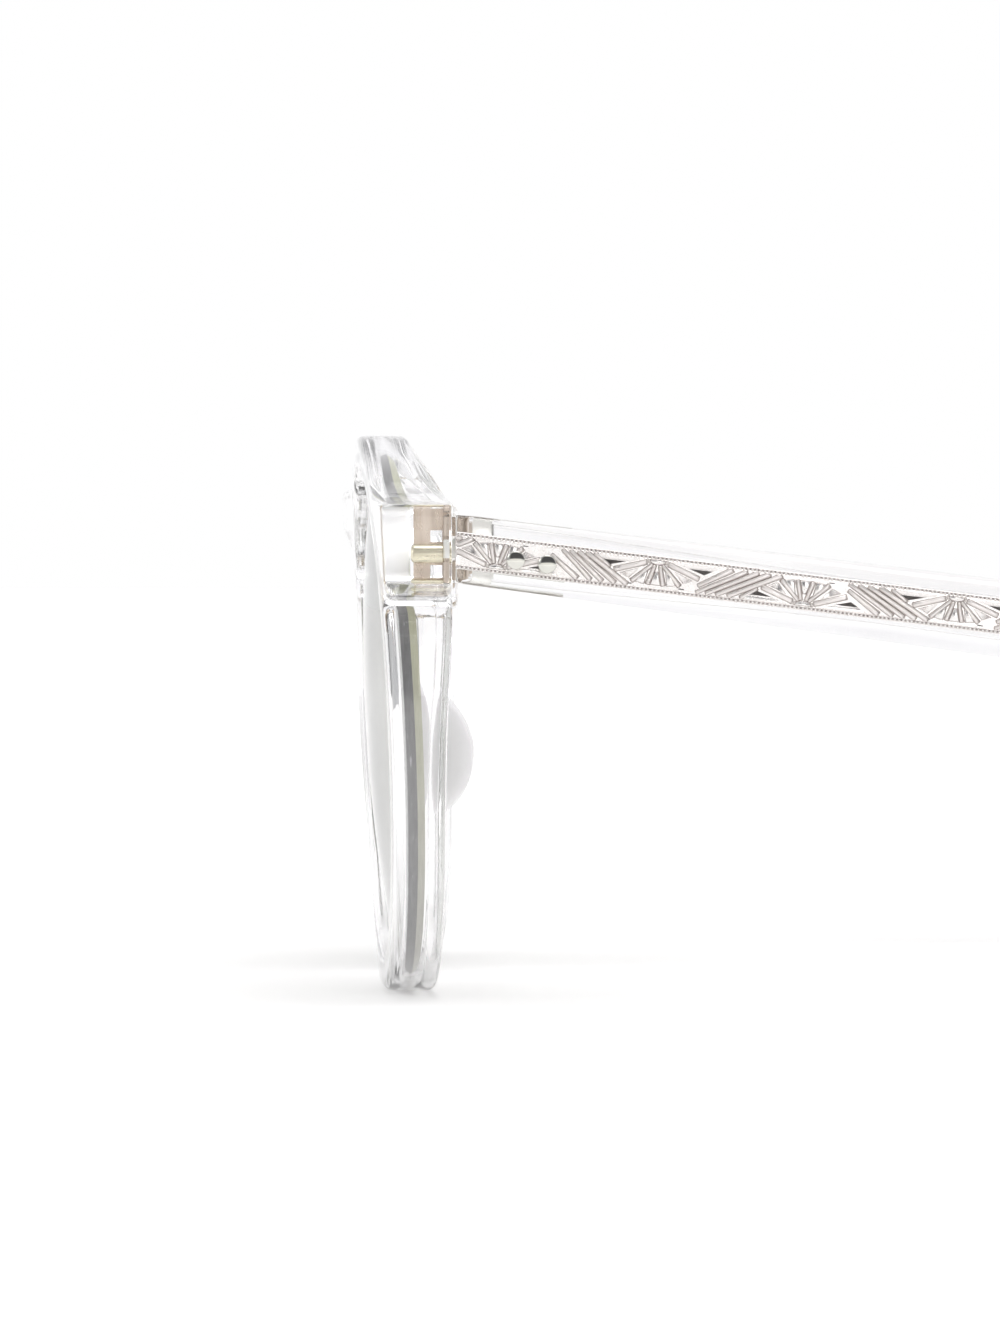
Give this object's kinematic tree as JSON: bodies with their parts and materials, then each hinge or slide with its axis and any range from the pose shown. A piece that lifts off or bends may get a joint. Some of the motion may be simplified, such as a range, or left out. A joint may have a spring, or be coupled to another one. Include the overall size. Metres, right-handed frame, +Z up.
{
  "type": "round sunglasses",
  "caption": "Round sunglasses in thick crystal-clear acetate with smoke lenses, riveted hinges and folding temples that show an engraved metal wire core.",
  "frame": {"origin": "under the middle of the glasses, on the surface that the two rims and the two temple tips stand on", "axes": "+X towards the wearer's left, +Y back along the temples, +Z up; the lenses face -Y"},
  "size_m": [0.142, 0.1518, 0.0495],
  "materials": {
    "clear_acetate": "polished crystal-clear acetate",
    "smoke_lens": "polished grey-green sun lens",
    "pad_acetate": "polished milky lilac-grey acetate",
    "engraved_silver": "struck nickel silver, bright on the raised bars",
    "hinge_metal": "warm satin nickel silver",
    "polished_steel": "mirror polished",
    "brass": "satin brass"
  },
  "bodies": {
    "front": {"front_frame": "clear_acetate", "lens_left": "smoke_lens", "nose_pad_left": "pad_acetate", "front_hinge_left": "hinge_metal", "hinge_screw_left": "polished_steel", "front_rivet_left_inner": "brass", "front_rivet_left_outer": "brass", "lens_right": "smoke_lens", "nose_pad_right": "pad_acetate", "front_hinge_right": "hinge_metal", "hinge_screw_right": "polished_steel", "front_rivet_right_inner": "brass", "front_rivet_right_outer": "brass"},
    "temple_arm_left": {"temple_left": "clear_acetate", "wire_core_left": "engraved_silver", "temple_hinge_left": "hinge_metal", "temple_rivet_left_front": "polished_steel", "temple_rivet_left_rear": "polished_steel"},
    "temple_arm_right": {"temple_right": "clear_acetate", "wire_core_right": "engraved_silver", "temple_hinge_right": "hinge_metal", "temple_rivet_right_front": "polished_steel", "temple_rivet_right_rear": "polished_steel"}
  },
  "joints": [
    {"name": "temple_left_fold", "type": "hinge", "parent": "front", "child": "temple_arm_left", "pos_m": [0.06455, -0.06501, 0.03935], "axis": [0, 0, 1], "range_deg": [0, 90]},
    {"name": "temple_right_fold", "type": "hinge", "parent": "front", "child": "temple_arm_right", "pos_m": [-0.06455, -0.06501, 0.03935], "axis": [0, 0, -1], "range_deg": [0, 82]}
  ]
}
